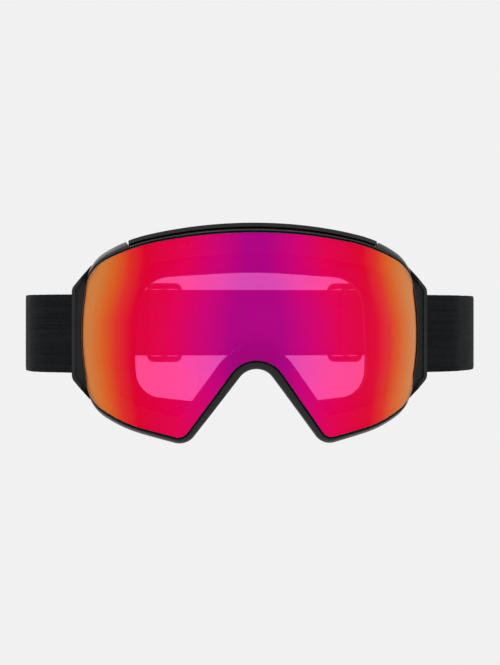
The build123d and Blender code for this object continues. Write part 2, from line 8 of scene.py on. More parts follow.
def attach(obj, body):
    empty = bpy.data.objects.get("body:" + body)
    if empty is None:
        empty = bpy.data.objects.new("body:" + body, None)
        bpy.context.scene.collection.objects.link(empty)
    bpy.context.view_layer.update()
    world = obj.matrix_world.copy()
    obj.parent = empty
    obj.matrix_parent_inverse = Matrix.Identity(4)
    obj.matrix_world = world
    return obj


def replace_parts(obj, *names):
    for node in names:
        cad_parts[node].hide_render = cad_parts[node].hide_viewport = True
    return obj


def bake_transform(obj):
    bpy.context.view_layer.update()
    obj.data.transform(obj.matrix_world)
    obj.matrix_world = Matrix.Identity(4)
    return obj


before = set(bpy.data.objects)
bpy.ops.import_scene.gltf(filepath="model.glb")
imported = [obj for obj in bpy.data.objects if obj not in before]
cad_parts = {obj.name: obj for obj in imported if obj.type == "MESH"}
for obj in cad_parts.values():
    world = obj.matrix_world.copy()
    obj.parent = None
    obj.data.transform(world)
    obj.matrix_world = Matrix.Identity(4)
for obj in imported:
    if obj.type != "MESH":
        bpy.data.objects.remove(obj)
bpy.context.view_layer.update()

# Lengths in the tables below are millimetres, as in the CAD source; meshes are made in metres.
MM = 0.001
SIDES = {"left": -1.0, "right": 1.0}

# ---------------------------------------------------------------- the object's driving shapes
LENS_AXIS_Y = 52.0
LENS_RADIUS_ACROSS = 100.0
LENS_RADIUS_UP = 220.0
FACE_AXIS_Y = 100.0
FACE_RADIUS = 100.0

LENS_OUTLINE = [
    (0.0, 52.5, 280.0), (59.5, 42.8, 100.0), (82.7, 32.5, 19.5), (87.1, -1.8, 110.0),
    (81.9, -34.6, 17.5), (64.0, -45.1, 65.0), (34.9, -51.9, 6.0), (0.0, -3.4, 14.4),
]
CARRIER_OUTLINE = [
    (0.0, 57.9, 270.0), (62.3, 46.2, 75.0), (82.9, 35.5, 20.0), (85.8, -1.8, 110.0),
    (82.2, -37.0, 20.0), (64.5, -47.3, 70.0), (33.3, -54.9, 9.0), (0.0, -10.7, 10.0),
]
FACE_PORT = [
    (0.0, 30.4, 260.0), (56.0, 27.1, 16.0), (58.6, -14.0, 60.0), (57.3, -31.2, 13.0),
    (28.0, -34.1, 4.0), (0.0, 6.2, 15.0),
]
# Depths below the front of the lens
OUTER_LENS_DEPTH = (0.0, 2.2)
INNER_LENS_DEPTH = (5.3, 6.3)
RIM_LEDGE_FRONT = 2.3
RIM_CREST = 2.0              # how far the rim stands in front of its ledge
RIM_BACK = 6.3
VENT_FOAM_FRONT = 9.8
OUTER_EDGE_ROUND = 0.6
INNER_EDGE_ROUND = 0.25
TEMPLE_START, TEMPLE_FADE = 73.0, 10.0

# Radii of the padding's layers about the face curve's axis, front and back
FOAM_BASE_RADIUS = (FACE_RADIUS + 18.0, FACE_RADIUS + 10.1)
FOAM_MIDDLE_RADIUS = (FACE_RADIUS + 10.0, FACE_RADIUS + 2.6)
FLEECE_RADIUS = (FACE_RADIUS + 2.5, FACE_RADIUS + 0.2)
VENT_FOAM_BACK_RADIUS = FACE_RADIUS + 20.6
VENT_FOAM_INSET = (9.9, 11.9)

# How far each outline lies inside its parent, all round and then beside the nose
# The outer lens's black back border is painted shade over the lit ledge and gasket behind it.
BACK_SHADE_BORDER_INSET = (10.2, 7.5)
INNER_LENS_INSET = (6.0, 4.4)
GASKET_INNER_INSET = (10.0, 7.3)
LEDGE_INSET = (5.6, 4.0)
FACE_INSET = (7.0, 3.6)
LAYER_STEP_IN = 0.6
FOAM_BASE_OUTSET = (-0.4, 0.0)
FOAM_MIDDLE_OUTSET = (-1.8, -0.2)
FLEECE_OUTSET = (-3.2, -0.4)
BRIM_RECESS_DEPTH = 2.35
BRIM_RECESS_HALF_WIDTH = 62.2

WEBBING_HALF_WIDTH = 20.5
WEBBING_HALF_THICKNESS = 0.7
LAYER_STEP = 1.7
STRAP_LEVEL = -0.6           # height of the strap's middle at the clips
STRAP_REAR_Y = 184.0
STRAP_RISE = [(0.0, STRAP_LEVEL, 0.0), (158.0, 1.0, 20.0), (174.0, 6.4, 20.0), (210.0, 6.4, 0.0)]
STRAP_BENDS = {
    "left": [(-121.5, 76.0, 100.0), (-113.4, 120.0, 150.0), (-100.9, 160.0, 55.0), (-78.1, 184.0, 30.0)],
    "right": [(133.1, 76.0, 90.0), (131.1, 120.0, 150.0), (123.1, 160.0, 55.0), (101.9, 184.0, 30.0)],
}
PIN_X, PIN_Y = 82.8, 22.4
CLIP_REACH = 8.63
CLIP_ANGLE = math.radians(45.0)
STRAP_ANGLE = math.radians(36.0)
LOOP_LENGTH = 10.0
WRAP_RADIUS = 2.2
FIRST_BEND_REACH = 28.2
FIRST_BEND_RADIUS = 28.0
SLIDER_X = {"left": -43.0, "right": 70.0}
SLIDER_BAR_HALF_WIDTH = 1.7
TAB_REACH = 13.0
TAB_INNER_LAYER = 5.1        # from the band's middle to the layer behind the slider's bar
TAB_CLEARANCE = 0.5
BENDING_REACH = 24.0         # webbing beyond the loop that is built in one piece with the loop
STITCH_ROWS = 3
STITCH_FIRST_ROW = 9.0       # from the slider's middle
STITCH_ROW_STEP = 1.5
STITCH_LENGTH = 1.8
STITCH_COUNT = 20            # stitches in a row
STITCH_START = -18.0         # height of a row's first stitch


# ---------------------------------------------------------------- plane geometry
def between(a, b, f):
    """The point a share f of the way from a to b."""
    return a[0] + f * (b[0] - a[0]), a[1] + f * (b[1] - a[1])


def unit(ax, ay, bx, by):
    length = math.hypot(bx - ax, by - ay)
    return (bx - ax) / length, (by - ay) / length


def shifted_corner(before, corner, after, shift, shift_after=None):
    """A corner whose two sides move by shift to the right of the way they run."""
    second = shift if shift_after is None else shift_after
    d1 = unit(before[0], before[1], corner[0], corner[1])
    d2 = unit(corner[0], corner[1], after[0], after[1])
    n1 = (d1[1], -d1[0])
    n2 = (d2[1], -d2[0])
    turn = d1[0] * d2[1] - d1[1] * d2[0]
    change = (shift + second) / 2
    radius = corner[2] - change if turn < 0 else corner[2] + change
    x = corner[0] + (shift * n2[1] - second * n1[1]) / turn
    y = corner[1] + (second * n1[0] - shift * n2[0]) / turn
    return x, y, max(radius, 0.8)


def closed_outline(half):
    return half + [(-x, z, r) for x, z, r in reversed(half[1:-1])]


def inset(half, distance, at_nose=None):
    """The half outline moved inwards by distance, and by at_nose on its last side."""
    ring = closed_outline(half)
    last = len(half) - 1
    nose = distance if at_nose is None else at_nose
    moved = []
    for i in range(len(half)):
        shift = nose if i == last else distance
        shift_after = nose if i >= last - 1 else distance
        moved.append(shifted_corner(ring[i - 1], ring[i], ring[(i + 1) % len(ring)], shift, shift_after))
    moved[0] = (0.0, moved[0][1], moved[0][2])
    moved[-1] = (0.0, moved[-1][1], moved[-1][2])
    return moved


def corner_arc(before, corner, after, count):
    """count + 1 points along the arc that rounds a corner."""
    d1 = unit(before[0], before[1], corner[0], corner[1])
    d2 = unit(corner[0], corner[1], after[0], after[1])
    turn = math.atan2(d1[0] * d2[1] - d1[1] * d2[0], d1[0] * d2[0] + d1[1] * d2[1])
    tangent = corner[2] * math.tan(abs(turn) / 2)
    sign = 1.0 if turn > 0 else -1.0
    sx, sy = corner[0] - d1[0] * tangent, corner[1] - d1[1] * tangent
    cx, cy = sx - d1[1] * sign * corner[2], sy + d1[0] * sign * corner[2]
    points = []
    for i in range(count + 1):
        a = turn * i / count
        x, y = sx - cx, sy - cy
        points.append((cx + x * math.cos(a) - y * math.sin(a), cy + x * math.sin(a) + y * math.cos(a)))
    return points


def ring_points(half, per_arc=16, per_line=5):
    """The outline as points; outlines with as many corners get matching points."""
    ring = closed_outline(half)
    n = len(ring)
    arcs = [corner_arc(ring[i - 1], ring[i], ring[(i + 1) % n], per_arc) for i in range(n)]
    points = []
    for i in range(n):
        points += arcs[i]
        a, b = arcs[i][-1], arcs[(i + 1) % n][0]
        for k in range(1, per_line):
            points.append(between(a, b, k / per_line))
    return points


def even_points(half, count=150):
    """The outline as 2 * count points, evenly spaced from the top centre to the nose on each side."""
    dense = ring_points(half, 40, 24)
    start = min(range(len(dense)), key=lambda i: abs(dense[i][0]) - dense[i][1])
    dense = dense[start:] + dense[:start]
    nose = min((i for i in range(len(dense)) if dense[i][1] < 15), key=lambda i: abs(dense[i][0]))
    right = [(0.0, dense[0][1])] + dense[1:nose] + [(0.0, dense[nose][1])]
    lengths = [0.0]
    for a, b in zip(right, right[1:]):
        lengths.append(lengths[-1] + math.dist(a, b))
    side = []
    k = 0
    for i in range(count + 1):
        goal = lengths[-1] * i / count
        while k < len(lengths) - 2 and lengths[k + 1] < goal:
            k += 1
        f = (goal - lengths[k]) / (lengths[k + 1] - lengths[k])
        side.append(between(right[k], right[k + 1], f))
    return side + [(-x, z) for x, z in reversed(side[1:-1])]


def mixed(a, b, f):
    return [between(p, q, f) for p, q in zip(a, b)]


def on_lens(x, z, depth):
    """The point of the surface that lies depth below the front of the lens."""
    radius = LENS_RADIUS_ACROSS - LENS_RADIUS_UP + math.sqrt((LENS_RADIUS_UP - depth) ** 2 - z * z)
    return x, LENS_AXIS_Y - math.sqrt(max(radius * radius - x * x, 0.0)), z


def on_face(x, z, radius):
    return x, FACE_AXIS_Y - math.sqrt(radius * radius - x * x), z


# ---------------------------------------------------------------- meshes
def add_object(name, points, faces, materials, which=None, sharp=None, weave=None, shade=None):
    mesh = bpy.data.meshes.new(name)
    mesh.from_pydata([(x * MM, y * MM, z * MM) for x, y, z in points], [], faces)
    for m in materials:
        mesh.materials.append(m)
    if which:
        mesh.polygons.foreach_set("material_index", which)
    if weave:
        layer = mesh.attributes.new("weave", "FLOAT_VECTOR", "POINT")
        layer.data.foreach_set("vector", [c for w in weave for c in w])
    if shade:
        mesh.attributes.new("shade", "FLOAT", "POINT").data.foreach_set("value", shade)
    work = bmesh.new()
    work.from_mesh(mesh)
    bmesh.ops.recalc_face_normals(work, faces=work.faces)
    work.to_mesh(mesh)
    work.free()
    mesh.polygons.foreach_set("use_smooth", [True] * len(mesh.polygons))
    if sharp:
        mesh.set_sharp_from_angle(angle=math.radians(sharp))
    obj = bpy.data.objects.new(name, mesh)
    bpy.context.scene.collection.objects.link(obj)
    return obj


def joined_rings(rings, around=True, along=False, caps=False):
    """Quads between neighbouring rings, which all have as many points."""
    n = len(rings[0])
    points = [p for ring in rings for p in ring]
    faces = []
    pairs = len(rings) if along else len(rings) - 1
    for k in range(pairs):
        a, b = k * n, ((k + 1) % len(rings)) * n
        for i in range(n if around else n - 1):
            j = (i + 1) % n
            faces.append((a + i, a + j, b + j, b + i))
    if caps:
        faces.append(tuple(range(n)))
        faces.append(tuple(range(len(points) - n, len(points))))
    return points, faces


def closed_ring_object(name, stations, materials, sharp=None):
    points, faces = joined_rings(stations, along=True)
    return add_object(name, points, faces, materials, sharp=sharp)


def at_temple(x):
    """0 over most of the lens, 1 at its sides."""
    t = min(max((abs(x) - TEMPLE_START) / TEMPLE_FADE, 0.0), 1.0)
    return t * t * (3.0 - 2.0 * t)


def lens_shell(name, outline, depths, edge_round, materials, border=None):
    """A curved sheet with a rounded edge. Materials: front, edge, back.

    border: insets of the back face, outside which the back has the edge's black material, a band of painted
    shade over the ledge and gasket behind it.
    """
    front, back = depths
    middle = (0.0, 20.0)
    thick = back - front
    # Share of the edge's rounding by which a point is inset, and of the thickness it is down
    edge = [(0.9, 0.0), (0.45, 0.06), (0.12, 0.2), (0.0, 0.42), (0.0, 0.75), (0.3, 0.95), (0.8, 1.0)]
    bevel = [2.4, 1.6, 1.0]
    steps = 26

    def shrunk(points, k):
        x0, z0 = middle
        return [(x0 + (x - x0) * k / steps, z0 + (z - z0) * k / steps) for x, z in points]

    first = ring_points(inset(outline, bevel[0]))
    last = ring_points(inset(outline, *border) if border else inset(outline, edge_round * edge[-1][0]))
    rings = [[on_lens(x, z, front) for x, z in shrunk(first, k)] for k in range(1, steps)]
    kinds = [0] * (steps - 1)
    dark = [0.0] * (steps - 1)
    for k, distance in enumerate(bevel):
        rings.append([on_lens(x, z, front) for x, z in ring_points(inset(outline, distance))])
        kinds.append(0)
        dark.append(k / 2.0)
    for share, down in edge:
        ring = ring_points(inset(outline, edge_round * share))
        rings.append([on_lens(x, z, front + thick * down) for x, z in ring])
        kinds.append(1)
        dark.append(1.0)
    if border:
        rings.append([on_lens(x, z, back) for x, z in last])
        kinds.append(2)
        dark.append(0.0)
    else:
        kinds[-1] = 2
    for k in range(steps - 1, 0, -1):
        rings.append([on_lens(x, z, back) for x, z in shrunk(last, k)])
        kinds.append(2)
        dark.append(0.0)
    points, faces = joined_rings(rings)
    n = len(first)
    shade = [d * at_temple(p[0]) for d, ring in zip(dark, rings) for p in ring] + [0.0, 0.0]
    which = []
    for k in range(len(rings) - 1):
        which += [kinds[k]] * n
    for ring_start, depth, kind in ((0, front, 0), ((len(rings) - 1) * n, back, 2)):
        centre = len(points)
        points.append(on_lens(middle[0], middle[1], depth))
        for i in range(n):
            faces.append((ring_start + i, ring_start + (i + 1) % n, centre))
            which.append(kind)
    return add_object(name, points, faces, materials, which, shade=shade)


def ripple(x, y, z, size, height, seed=0.0):
    """A smooth unevenness, in millimetres, with features of the given size."""
    return height * noise.noise(Vector((x / size + seed, y / size, z / size)))


# ---------------------------------------------------------------- node materials
class Surface:
    """A node material round one Principled shader."""

    def __init__(self, name, colour, roughness, metallic=0.0, specular=0.5, **more):
        self.material = bpy.data.materials.new(name)
        self.material.use_nodes = True
        self.nodes = self.material.node_tree.nodes
        self.links = self.material.node_tree.links
        self.shader = self.nodes["Principled BSDF"]
        self.set(self.shader, {"Base Color": (*colour, 1.0), "Roughness": roughness, "Metallic": metallic})
        self.set(self.shader, {"Specular IOR Level": specular, **more})
        self.place = self.add("ShaderNodeTexCoord").outputs["Object"]

    def set(self, node, values):
        for key, value in values.items():
            if isinstance(value, bpy.types.NodeSocket):
                self.links.new(value, node.inputs[key])
            else:
                node.inputs[key].default_value = value

    def add(self, kind, values=None, **settings):
        node = self.nodes.new(kind)
        for key, value in settings.items():
            setattr(node, key, value)
        self.set(node, values or {})
        return node

    def noise(self, scale, detail=3.0, vector=None, distortion=0.0):
        node = self.add("ShaderNodeTexNoise", {
            "Vector": vector or self.place, "Scale": scale, "Detail": detail, "Distortion": distortion})
        return node.outputs["Fac"]

    def stretched(self, scale, source=None):
        node = self.add("ShaderNodeMapping", {"Vector": source or self.place, "Scale": scale})
        return node.outputs["Vector"]

    def mixed(self, share, first, second, blend="MIX"):
        node = self.add("ShaderNodeMix", {6: first, 7: second, 0: share}, data_type="RGBA", blend_type=blend)
        return node.outputs[2]

    def spread(self, source, low, high, from_low=0.3, from_high=0.7):
        node = self.add("ShaderNodeMapRange", {
            "Value": source, "From Min": from_low, "From Max": from_high, "To Min": low, "To Max": high})
        return node.outputs["Result"]

    def ramp(self, source, stops):
        node = self.add("ShaderNodeValToRGB", {"Fac": source})
        ramp = node.color_ramp
        while len(ramp.elements) > 1:
            ramp.elements.remove(ramp.elements[-1])
        ramp.elements[0].position = stops[0][0]
        ramp.elements[0].color = (*stops[0][1], 1.0)
        for position, colour in stops[1:]:
            ramp.elements.new(position).color = (*colour, 1.0)
        return node.outputs["Color"]

    def bump(self, height, distance, strength=1.0, under=None):
        values = {"Height": height, "Distance": distance, "Strength": strength}
        if under:
            values["Normal"] = under
        return self.add("ShaderNodeBump", values).outputs["Normal"]

    def look(self, **values):
        self.set(self.shader, {key.replace("_", " ").title(): value for key, value in values.items()})
        return self.material


def linear(red, green, blue):
    """Linear values of a colour given as 0-255 screen values."""
    out = []
    for v in (red, green, blue):
        v = v / 255.0
        out.append(v / 12.92 if v <= 0.04045 else ((v + 0.055) / 1.055) ** 2.4)
    return tuple(out)


def grey(v, cool=0.0):
    return v * (1.0 - cool), v, v * (1.0 + cool)


def moulded_plastic(name, value, rough, grain, depth, specular=0.35, cool=0.04):
    """Moulded plastic: spark-eroded grain, faint flow patches and handling marks."""
    s = Surface(name, grey(value, cool), rough[0], specular=specular)
    patches = s.noise(42.0, 4.0)
    fine = s.noise(grain, 2.0)
    marks = s.noise(1.0, 5.0, s.stretched((260.0, 900.0, 190.0)), 0.6)
    colour = s.ramp(patches, [(0.3, grey(value * 0.9, cool)), (0.72, grey(value * 1.12, cool))])
    rough_map = s.spread(marks, rough[0], rough[1])
    normal = s.bump(fine, depth, 0.55)
    normal = s.bump(marks, depth * 0.5, 0.2, normal)
    return s.look(base_color=colour, roughness=rough_map, normal=normal)


def open_foam(name, value, cell, depth, tint=(1.0, 1.0, 1.0), specular=0.15):
    """Cut foam: rounded cells, with painted shade in the pores and painted light on the cell walls."""
    s = Surface(name, tuple(value * t for t in tint), 0.95, specular=specular)
    cells = s.add("ShaderNodeTexVoronoi", {"Vector": s.place, "Scale": 1.0 / (cell * MM), "Randomness": 1.0})
    broad = s.noise(90.0, 3.0)
    # Painted shade: the colour darkens towards each cell's hollow middle and lightens at its walls.
    shade = s.ramp(cells.outputs["Distance"], [
        (0.0, tuple(value * 0.35 * t for t in tint)), (0.35, tuple(value * t for t in tint)),
        (0.8, tuple(value * 1.5 * t for t in tint))])
    cloud = s.ramp(broad, [(0.3, grey(0.8)), (0.7, grey(1.15))])
    colour = s.mixed(1.0, shade, cloud, "MULTIPLY")
    normal = s.bump(cells.outputs["Distance"], depth, 0.9)
    normal = s.bump(broad, 0.0006, 0.25, normal)
    return s.look(base_color=colour, normal=normal)


def worked_steel(name, value, rough, run):
    """Turned or ground steel with fine lines along one way."""
    s = Surface(name, grey(value, 0.02), rough[0], metallic=1.0)
    lines = s.noise(1.0, 4.0, s.stretched(run))
    cloud = s.noise(300.0, 2.0)
    colour = s.ramp(cloud, [(0.3, grey(value * 0.9, 0.02)), (0.7, grey(value * 1.05, 0.02))])
    rough_map = s.spread(lines, rough[0], rough[1])
    return s.look(base_color=colour, roughness=rough_map, normal=s.bump(lines, 0.000004, 0.4))


def woven(name, value, cool):
    """Elastic webbing: tight yarns in staggered rows, long streaks and a soft nap."""
    s = Surface(name, grey(value, cool), 0.9, specular=0.05)
    place = s.add("ShaderNodeAttribute", attribute_name="weave").outputs["Vector"]
    rows = s.add("ShaderNodeTexBrick", {
        "Vector": s.stretched((1000.0, 1000.0, 1000.0), place), "Color1": (*grey(value * 0.75, cool), 1.0),
        "Color2": (*grey(value * 1.3, cool), 1.0), "Mortar": (*grey(value * 0.3, cool), 1.0), "Scale": 1.0,
        "Mortar Size": 0.16, "Mortar Smooth": 1.0, "Brick Width": 1.7, "Row Height": 0.62}, offset=0.5)
    streak = s.noise(1.0, 3.0, s.stretched((14.0, 900.0, 900.0), place))
    bands = s.ramp(streak, [(0.3, grey(0.62)), (0.7, grey(1.5))])
    colour = s.mixed(1.0, rows.outputs["Color"], bands, "MULTIPLY")
    nap = s.noise(5200.0, 4.0)
    normal = s.bump(rows.outputs["Fac"], 0.00012, 0.8)
    normal = s.bump(streak, 0.00012, 0.5, normal)
    normal = s.bump(nap, 0.00008, 0.5, normal)
    return s.look(base_color=colour, normal=normal, roughness=s.spread(nap, 0.8, 0.98))


def fleece_cloth(name, value):
    """Brushed fleece: curled fibres in small clumps."""
    s = Surface(name, grey(value), 0.97, specular=0.08)
    s.set(s.shader, {"Sheen Weight": 0.06, "Sheen Roughness": 0.5})
    fibres = s.noise(1900.0, 6.0, distortion=2.5)
    clumps = s.noise(520.0, 4.0, distortion=1.6)
    colour = s.ramp(fibres, [(0.3, grey(value * 0.25)), (0.5, grey(value)), (0.7, grey(value * 3.6))])
    normal = s.bump(clumps, 0.0014, 0.8)
    normal = s.bump(fibres, 0.0006, 0.9, normal)
    return s.look(base_color=colour, normal=normal)


ROOM = 1.6                   # brightness of the studio round the object
COAT_ALPHA = 0.58            # share of light that the mirror coating keeps in front


def mirror(red, green, blue):
    """The coating's own colour that shows as this screen colour in the room's light."""
    return tuple(min(v / (ROOM * COAT_ALPHA), 1.0) for v in linear(red, green, blue))


# The mirror coating's hues, from the middle outwards: distance from the middle in millimetres, colour.
VIOLET, MAGENTA, CRIMSON, SCARLET = (175, 0, 130), (205, 0, 115), (225, 0, 80), (220, 0, 45)
VERMILION, ORANGE, AMBER = (220, 45, 35), (215, 95, 30), (205, 120, 50)
POOL_VIOLET, EDGE_AMBER = (160, 0, 118), (138, 78, 38)
COATING_BANDS = [
    (12.0, VIOLET), (26.0, MAGENTA), (41.0, CRIMSON), (61.0, SCARLET), (68.0, VERMILION), (75.0, ORANGE),
    (82.0, AMBER),
]
COATING_REACH = 90.0
COATING_SOONER_HIGH = 7.0
COATING_SOONER_LOW = 4.0


def lens_coating():
    """Interference colours: bands by distance from the middle, reached sooner high and low on the lens."""
    s = Surface("mirror_coating", mirror(220, 0, 70), 0.09, metallic=1.0, Alpha=COAT_ALPHA)
    parts = s.add("ShaderNodeSeparateXYZ", {"Vector": s.place})
    lean = s.spread(s.noise(16.0, 2.0), -0.0012, 0.0012)
    sway = s.add("ShaderNodeMath", {0: parts.outputs["X"], 1: lean}, operation="ADD")
    aside = s.add("ShaderNodeMath", {0: sway.outputs[0]}, operation="ABSOLUTE")
    high = s.spread(parts.outputs["Z"], 0.0, COATING_SOONER_HIGH * MM, 0.006, 0.034)
    low = s.spread(parts.outputs["Z"], COATING_SOONER_LOW * MM, 0.0, -0.040, -0.014)
    above = s.add("ShaderNodeMath", {0: aside.outputs[0], 1: high}, operation="ADD")
    reach = s.add("ShaderNodeMath", {0: above.outputs[0], 1: low}, operation="ADD")
    across = s.spread(reach.outputs[0], 0.0, 1.0, 0.0, COATING_REACH * MM)
    bands = s.ramp(across, [(place / COATING_REACH, mirror(*hue)) for place, hue in COATING_BANDS])
    over_nose = s.add("ShaderNodeMapping", {
        "Vector": s.place, "Location": (0.0, 0.0, 0.8), "Scale": (50.0, 5.0, 50.0)})
    pool = s.add("ShaderNodeTexGradient", {"Vector": over_nose.outputs[0]}, gradient_type="SPHERICAL")
    depth = s.spread(pool.outputs["Fac"], 0.0, 0.85, 0.05, 0.5)
    deepened = s.mixed(depth, bands, (*mirror(*POOL_VIOLET), 1.0))
    shade = s.add("ShaderNodeAttribute", attribute_name="shade").outputs["Fac"]
    rolled = s.spread(shade, 0.0, 0.8, 0.0, 1.0)
    edged = s.mixed(rolled, deepened, (*mirror(*EDGE_AMBER), 1.0))
    haze = s.spread(s.noise(9.0, 2.0), 0.07, 0.12)
    return s.look(base_color=edged, roughness=haze)


def lens_rolled_edge():
    """The lens's cut edge: black paint that thins to smoky amber at the temples."""
    s = Surface("lens_edge", (0.003, 0.0025, 0.004), 0.5, specular=0.06)
    shade = s.add("ShaderNodeAttribute", attribute_name="shade").outputs["Fac"]
    grind = s.noise(900.0, 3.0)
    black = s.ramp(grind, [(0.3, (0.002, 0.0018, 0.0026)), (0.7, (0.004, 0.0036, 0.005))])
    amber = s.ramp(grind, [(0.3, (0.075, 0.032, 0.014)), (0.7, (0.1, 0.042, 0.018))])
    tint = s.mixed(shade, black, amber)
    return s.look(base_color=tint, roughness=s.spread(grind, 0.42, 0.6), normal=s.bump(grind, 0.00002, 0.3))


def lens_body(name, colour, alpha, rough=0.08):
    s = Surface(name, colour, rough, specular=0.3, Alpha=alpha)
    cloud = s.noise(20.0, 2.0)
    return s.look(roughness=s.spread(cloud, rough * 0.8, rough * 1.5))


def tinted_clear(name, tint):
    """A clear sheet that colours what is seen through it, with a thin gloss."""
    m = bpy.data.materials.new(name)
    m.use_nodes = True
    nodes, links = m.node_tree.nodes, m.node_tree.links
    nodes.remove(nodes["Principled BSDF"])
    through = nodes.new("ShaderNodeBsdfTransparent")
    through.inputs["Color"].default_value = (*tint, 1.0)
    gloss = nodes.new("ShaderNodeBsdfGlossy")
    gloss.inputs["Roughness"].default_value = 0.06
    gloss.inputs["Color"].default_value = (0.5, 0.42, 0.6, 1.0)
    edge = nodes.new("ShaderNodeFresnel")
    edge.inputs["IOR"].default_value = 1.18
    mix = nodes.new("ShaderNodeMixShader")
    links.new(edge.outputs[0], mix.inputs[0])
    links.new(through.outputs[0], mix.inputs[1])
    links.new(gloss.outputs[0], mix.inputs[2])
    links.new(mix.outputs[0], nodes["Material Output"].inputs["Surface"])
    return m


COATING = lens_coating()
LENS_EDGE = lens_rolled_edge()
LENS_BACK = lens_body("lens_back", (0.02, 0.01, 0.02), 0.1)
INNER_CLEAR = tinted_clear("inner_clear", (0.92, 0.46, 0.84))
FRAME_PLASTIC = moulded_plastic("frame_moulding", 0.0055, (0.46, 0.62), 2600.0, 0.00005, 0.14)
RIM_PLASTIC = moulded_plastic("rim_moulding", 0.0055, (0.38, 0.52), 2800.0, 0.00003, 0.15)
WING_PLASTIC = moulded_plastic("wing_moulding", 0.0065, (0.4, 0.54), 2400.0, 0.00004, 0.16)
BUCKLE_PLASTIC = moulded_plastic("buckle_moulding", 0.005, (0.3, 0.46), 1500.0, 0.00002, 0.15)
GASKET = open_foam("gasket_foam", 0.008, 0.35, 0.0001)
FOAM_FIRM = open_foam("foam_firm", 0.014, 0.7, 0.0006)
FOAM_SOFT = open_foam("foam_soft", 0.022, 0.95, 0.0008, (1.0, 1.0, 1.03))
VENT_FOAM = open_foam("vent_foam", 0.022, 1.3, 0.0009)
FLEECE = fleece_cloth("fleece", 0.011)
WEBBING = woven("webbing", 0.0055, 0.1)
THREAD = woven("thread", 0.012, 0.05)
MAGNET_STEEL = worked_steel("magnet_plating", 0.5, (0.18, 0.34), (1500.0, 1500.0, 60.0))
SCREW_STEEL = worked_steel("screw_black", 0.12, (0.22, 0.4), (900.0, 60.0, 900.0))
PIN_STEEL = worked_steel("pin_steel", 0.42, (0.16, 0.32), (60.0, 60.0, 3000.0))


# ---------------------------------------------------------------- lens unit
outer_lens = lens_shell(
    "lens_outer", LENS_OUTLINE, OUTER_LENS_DEPTH, OUTER_EDGE_ROUND, [COATING, LENS_EDGE, LENS_BACK],
    BACK_SHADE_BORDER_INSET)
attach(outer_lens, "lens_unit")
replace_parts(outer_lens, "outer_lens")

inner_outline = inset(LENS_OUTLINE, *INNER_LENS_INSET)
inner_lens = lens_shell(
    "lens_inner", inner_outline, INNER_LENS_DEPTH, INNER_EDGE_ROUND, [INNER_CLEAR, LENS_EDGE, INNER_CLEAR])
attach(inner_lens, "lens_unit")
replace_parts(inner_lens, "inner_lens")


def gasket_object():
    """The foam ring that keeps the two lenses apart, with rounded corners and swollen sides."""
    outer = ring_points(inner_outline)
    inner = ring_points(inset(LENS_OUTLINE, *GASKET_INNER_INSET))
    # Share of the way from the outer to the inner outline, and depth
    profile = [
        (0.0, 2.6), (0.1, 2.3), (0.9, 2.3), (1.0, 2.6), (1.06, 3.75), (1.0, 4.9), (0.9, 5.22), (0.1, 5.22),
        (0.0, 4.9), (-0.05, 3.75)]
    stations = [[on_lens(x, z, depth) for x, z in mixed(outer, inner, share)] for share, depth in profile]
    return closed_ring_object("gasket", stations, [GASKET], 50)


gasket = gasket_object()
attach(gasket, "lens_unit")
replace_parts(gasket, "lens_gasket")


def along_ring(ring, i, f):
    return between(ring[i], ring[(i + 1) % len(ring)], f)


def rim_object():
    """The rim round the lens with the ledge behind it, stepped in where the brim sits."""
    outline = ring_points(CARRIER_OUTLINE, 20, 8)
    stepped = ring_points(inset(CARRIER_OUTLINE, BRIM_RECESS_DEPTH), 20, 8)
    beside = ring_points(inset(LENS_OUTLINE, -0.15), 20, 8)
    ledge = ring_points(inset(LENS_OUTLINE, *LEDGE_INSET), 20, 8)
    n = len(outline)
    places = []
    for i in range(n):
        under = [stepped[k][1] > 20 and abs(stepped[k][0]) < BRIM_RECESS_HALF_WIDTH for k in (i, (i + 1) % n)]
        places.append((i, 0.0, under[0]))
        if under[0] != under[1]:
            x0, x1 = abs(stepped[i][0]), abs(stepped[(i + 1) % n][0])
            f = (BRIM_RECESS_HALF_WIDTH - x0) / (x1 - x0)
            places += [(i, f, under[0]), (i, f, under[1])]
    stations = []
    for i, f, under in places:
        out = along_ring(stepped if under else outline, i, f)
        near = along_ring(beside, i, f)
        inner = along_ring(ledge, i, f)
        run = unit(*outline[i], *outline[(i + 1) % n])
        width = (out[0] - near[0]) * -run[1] + (out[1] - near[1]) * run[0]
        rise = min(max((width - 0.1) / 1.3, 0.0), 1.0)
        front = RIM_LEDGE_FRONT - RIM_CREST * rise * rise * (3.0 - 2.0 * rise)
        if width < 0.1:
            near = (out[0] + 0.1 * run[1], out[1] - 0.1 * run[0])
        size = max(width, 0.1)
        soft = min(0.9, 0.4 * size) / size
        lip = min(0.35, 0.3 * size) / size

        def across(share, depth):
            return on_lens(*between(out, near, share), depth)

        def inward(share, depth):
            return on_lens(*between(near, inner, share), depth)

        stations.append([
            across(0.0, RIM_BACK), across(0.0, front + 1.9 * rise), across(soft * 0.2, front + 1.3 * rise),
            across(soft * 0.6, front + 0.85 * rise), across((soft + 0.4) / 2, front + 0.45 * rise),
            across(0.5, front + 0.12 * rise), across(0.68, front), across(1.0 - lip, front + 0.16 * rise),
            across(1.0 - lip * 0.3, front + 0.4 * rise), across(1.0, front + 0.7 * rise),
            across(1.0, RIM_LEDGE_FRONT), inward(0.5, RIM_LEDGE_FRONT), inward(0.93, RIM_LEDGE_FRONT),
            inward(1.0, 2.6), inward(1.0, 6.0), inward(0.93, RIM_BACK), inward(0.5, RIM_BACK)])
    rings = [[st[k] for st in stations] for k in range(len(stations[0]))]
    return closed_ring_object("lens_rim", rings, [RIM_PLASTIC], sharp=38)


rim = rim_object()
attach(rim, "lens_unit")
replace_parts(rim, "lens_carrier")


